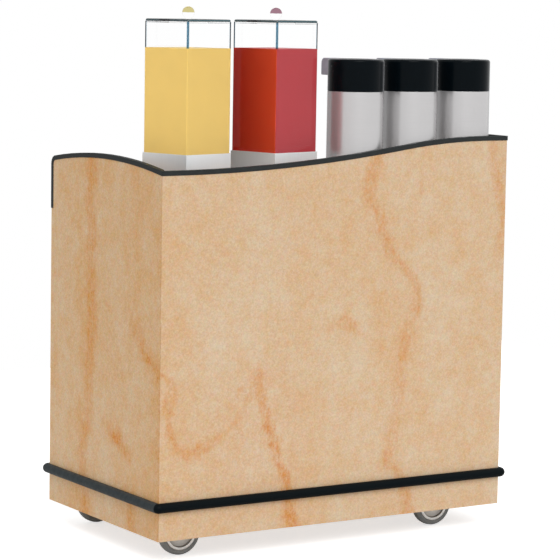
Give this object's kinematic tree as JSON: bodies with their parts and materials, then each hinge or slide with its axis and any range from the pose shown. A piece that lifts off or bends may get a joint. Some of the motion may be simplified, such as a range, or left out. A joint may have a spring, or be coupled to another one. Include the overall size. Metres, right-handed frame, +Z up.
{
  "type": "beverage cart",
  "caption": "Panelled beverage cart with a sweeping top edge, bumper and swivel casters, carrying juice dispensers and pump airpots on an operator's deck.",
  "frame": {"origin": "on the floor under the middle of the cart's bounding box", "axes": "+X along the cart from the low end to the high end, +Y towards the open operator side, +Z up"},
  "size_m": [1.167, 0.685, 1.489],
  "materials": {
    "maple_laminate": "satin maple laminate with brown streaks",
    "shelf_laminate": "satin laminate",
    "black_trim": "matte black edge channel",
    "bumper_vinyl": "satin black vinyl",
    "deck_steel": "brushed along the cart",
    "brushed_steel": "fine brushed",
    "zinc_steel": "zinc plated",
    "wheel_core": "moulded grey",
    "grey_rubber": "non-marking grey rubber",
    "clear_acrylic": "clear, blue-grey at the edges",
    "orange_juice": "cloudy liquid",
    "red_juice": "cloudy liquid",
    "chrome": "polished",
    "black_plastic": "gloss black",
    "button_plastic": "satin black"
  },
  "bodies": {
    "cart": {"front_panel": "maple_laminate", "left_end_panel": "maple_laminate", "right_end_panel": "maple_laminate", "front_trim": "black_trim", "left_end_trim": "black_trim", "right_end_trim": "black_trim", "deck_sheet": "deck_steel", "deck_board": "shelf_laminate", "mid_shelf": "shelf_laminate", "base_shelf": "shelf_laminate", "rear_skirt": "maple_laminate", "bumper": "bumper_vinyl", "front_left_caster_plate": "zinc_steel", "front_right_caster_plate": "zinc_steel", "rear_left_caster_plate": "zinc_steel", "rear_right_caster_plate": "zinc_steel"},
    "front_left_swivel": {"front_left_caster_fork": "zinc_steel", "front_left_axle": "zinc_steel"},
    "front_left_wheel": {"front_left_wheel_hub": "wheel_core", "front_left_tyre": "grey_rubber"},
    "front_right_swivel": {"front_right_caster_fork": "zinc_steel", "front_right_axle": "zinc_steel"},
    "front_right_wheel": {"front_right_wheel_hub": "wheel_core", "front_right_tyre": "grey_rubber"},
    "rear_left_swivel": {"rear_left_caster_fork": "zinc_steel", "rear_left_axle": "zinc_steel"},
    "rear_left_wheel": {"rear_left_wheel_hub": "wheel_core", "rear_left_tyre": "grey_rubber"},
    "rear_right_swivel": {"rear_right_caster_fork": "zinc_steel", "rear_right_axle": "zinc_steel"},
    "rear_right_wheel": {"rear_right_wheel_hub": "wheel_core", "rear_right_tyre": "grey_rubber"},
    "left_dispenser": {"left_dispenser_base": "brushed_steel", "left_tank": "clear_acrylic", "left_juice": "orange_juice", "left_faucet": "chrome"},
    "left_cover": {"left_lid": "clear_acrylic", "left_lid_knob": "clear_acrylic"},
    "left_lever": {"left_faucet_lever": "black_plastic"},
    "right_dispenser": {"right_dispenser_base": "brushed_steel", "right_tank": "clear_acrylic", "right_juice": "red_juice", "right_faucet": "chrome"},
    "right_cover": {"right_lid": "clear_acrylic", "right_lid_knob": "clear_acrylic"},
    "right_lever": {"right_faucet_lever": "black_plastic"},
    "airpot_1": {"airpot_1_foot": "black_plastic", "airpot_1_vessel": "brushed_steel"},
    "airpot_1_pump": {"airpot_1_head": "black_plastic"},
    "airpot_1_push": {"airpot_1_button": "button_plastic"},
    "airpot_2": {"airpot_2_foot": "black_plastic", "airpot_2_vessel": "brushed_steel"},
    "airpot_2_pump": {"airpot_2_head": "black_plastic"},
    "airpot_2_push": {"airpot_2_button": "button_plastic"},
    "airpot_3": {"airpot_3_foot": "black_plastic", "airpot_3_vessel": "brushed_steel"},
    "airpot_3_pump": {"airpot_3_head": "black_plastic"},
    "airpot_3_push": {"airpot_3_button": "button_plastic"}
  },
  "joints": [
    {"name": "front_left_swivel_turn", "type": "hinge", "parent": "cart", "child": "front_left_swivel", "pos_m": [-0.4225, -0.22298, 0.1409], "axis": [0, 0, 1], "continuous": true},
    {"name": "front_left_wheel_spin", "type": "hinge", "parent": "front_left_swivel", "child": "front_left_wheel", "pos_m": [-0.445, -0.22298, 0.062], "axis": [0, 1, 0], "continuous": true},
    {"name": "front_right_swivel_turn", "type": "hinge", "parent": "cart", "child": "front_right_swivel", "pos_m": [0.4225, -0.22298, 0.1409], "axis": [0, 0, 1], "continuous": true},
    {"name": "front_right_wheel_spin", "type": "hinge", "parent": "front_right_swivel", "child": "front_right_wheel", "pos_m": [0.4, -0.22298, 0.062], "axis": [0, 1, 0], "continuous": true},
    {"name": "rear_left_swivel_turn", "type": "hinge", "parent": "cart", "child": "rear_left_swivel", "pos_m": [-0.4225, 0.256, 0.1409], "axis": [0, 0, 1], "continuous": true},
    {"name": "rear_left_wheel_spin", "type": "hinge", "parent": "rear_left_swivel", "child": "rear_left_wheel", "pos_m": [-0.445, 0.256, 0.062], "axis": [0, 1, 0], "continuous": true},
    {"name": "rear_right_swivel_turn", "type": "hinge", "parent": "cart", "child": "rear_right_swivel", "pos_m": [0.4225, 0.256, 0.1409], "axis": [0, 0, 1], "continuous": true},
    {"name": "rear_right_wheel_spin", "type": "hinge", "parent": "rear_right_swivel", "child": "rear_right_wheel", "pos_m": [0.4, 0.256, 0.062], "axis": [0, 1, 0], "continuous": true},
    {"name": "left_dispenser_lift", "type": "slide", "parent": "cart", "child": "left_dispenser", "axis": [0, 0, 1], "range_m": [0, 0.25]},
    {"name": "left_cover_lift", "type": "slide", "parent": "left_dispenser", "child": "left_cover", "axis": [0, 0, 1], "range_m": [0, 0.12]},
    {"name": "left_lever_pull", "type": "hinge", "parent": "left_dispenser", "child": "left_lever", "pos_m": [-0.43817, -0.06198, 1.1495], "axis": [-0.9659, -0.2588, 0], "range_deg": [0, 40], "stiffness_Nm_per_rad": 0.2, "springref_deg": -5.73},
    {"name": "right_dispenser_lift", "type": "slide", "parent": "cart", "child": "right_dispenser", "axis": [0, 0, 1], "range_m": [0, 0.25]},
    {"name": "right_cover_lift", "type": "slide", "parent": "right_dispenser", "child": "right_cover", "axis": [0, 0, 1], "range_m": [0, 0.12]},
    {"name": "right_lever_pull", "type": "hinge", "parent": "right_dispenser", "child": "right_lever", "pos_m": [-0.16027, -0.06198, 1.1495], "axis": [-0.9659, -0.2588, 0], "range_deg": [0, 40], "stiffness_Nm_per_rad": 0.2, "springref_deg": -5.73},
    {"name": "airpot_1_lift", "type": "slide", "parent": "cart", "child": "airpot_1", "axis": [0, 0, 1], "range_m": [0, 0.25]},
    {"name": "airpot_1_pump_lift", "type": "slide", "parent": "airpot_1", "child": "airpot_1_pump", "axis": [0, 0, 1], "range_m": [0, 0.12]},
    {"name": "airpot_1_button_press", "type": "slide", "parent": "airpot_1_pump", "child": "airpot_1_push", "axis": [0, 0, -1], "range_m": [0, 0.028], "stiffness_N_per_m": 500, "springref_m": -0.01},
    {"name": "airpot_2_lift", "type": "slide", "parent": "cart", "child": "airpot_2", "axis": [0, 0, 1], "range_m": [0, 0.25]},
    {"name": "airpot_2_pump_lift", "type": "slide", "parent": "airpot_2", "child": "airpot_2_pump", "axis": [0, 0, 1], "range_m": [0, 0.12]},
    {"name": "airpot_2_button_press", "type": "slide", "parent": "airpot_2_pump", "child": "airpot_2_push", "axis": [0, 0, -1], "range_m": [0, 0.028], "stiffness_N_per_m": 500, "springref_m": -0.01},
    {"name": "airpot_3_lift", "type": "slide", "parent": "cart", "child": "airpot_3", "axis": [0, 0, 1], "range_m": [0, 0.25]},
    {"name": "airpot_3_pump_lift", "type": "slide", "parent": "airpot_3", "child": "airpot_3_pump", "axis": [0, 0, 1], "range_m": [0, 0.12]},
    {"name": "airpot_3_button_press", "type": "slide", "parent": "airpot_3_pump", "child": "airpot_3_push", "axis": [0, 0, -1], "range_m": [0, 0.028], "stiffness_N_per_m": 500, "springref_m": -0.01}
  ]
}
